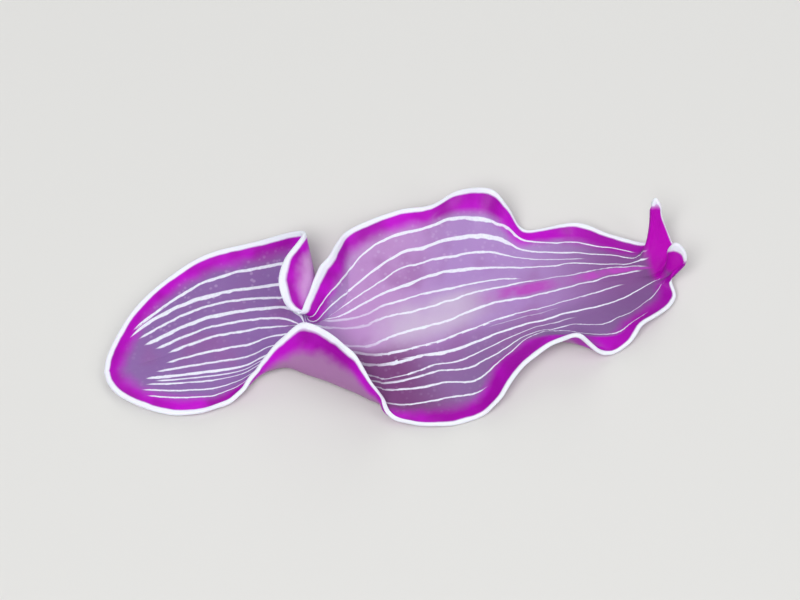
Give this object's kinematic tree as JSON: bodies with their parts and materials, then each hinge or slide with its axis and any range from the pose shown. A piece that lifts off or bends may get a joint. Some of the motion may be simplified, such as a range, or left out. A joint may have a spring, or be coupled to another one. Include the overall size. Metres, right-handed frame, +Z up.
{
  "type": "purple-striped flatworm",
  "caption": "Life-size still model of a marine flatworm crawling, a thin ruffled lilac sheet with white stripes, magenta border and folded head tentacles.",
  "frame": {"origin": "centre of the footprint's box, on the surface that the belly lies on", "axes": "+X towards the head, +Y to the animal's left, +Z up from the surface"},
  "size_m": [0.03, 0.013, 0.0033],
  "materials": {
    "lilac_body": "wet, soft, slightly translucent lilac flesh with white lengthwise stripes, a magenta band and a white edge",
    "magenta_tentacle": "wet, soft magenta flesh with a white tip and edge"
  },
  "bodies": {
    "root": {"tail": "lilac_body", "hind_body": "lilac_body", "waist": "lilac_body", "mid_body": "lilac_body", "fore_body": "lilac_body", "neck": "lilac_body", "head": "lilac_body", "tentacle_left": "magenta_tentacle", "tentacle_right": "magenta_tentacle"}
  },
  "joints": []
}
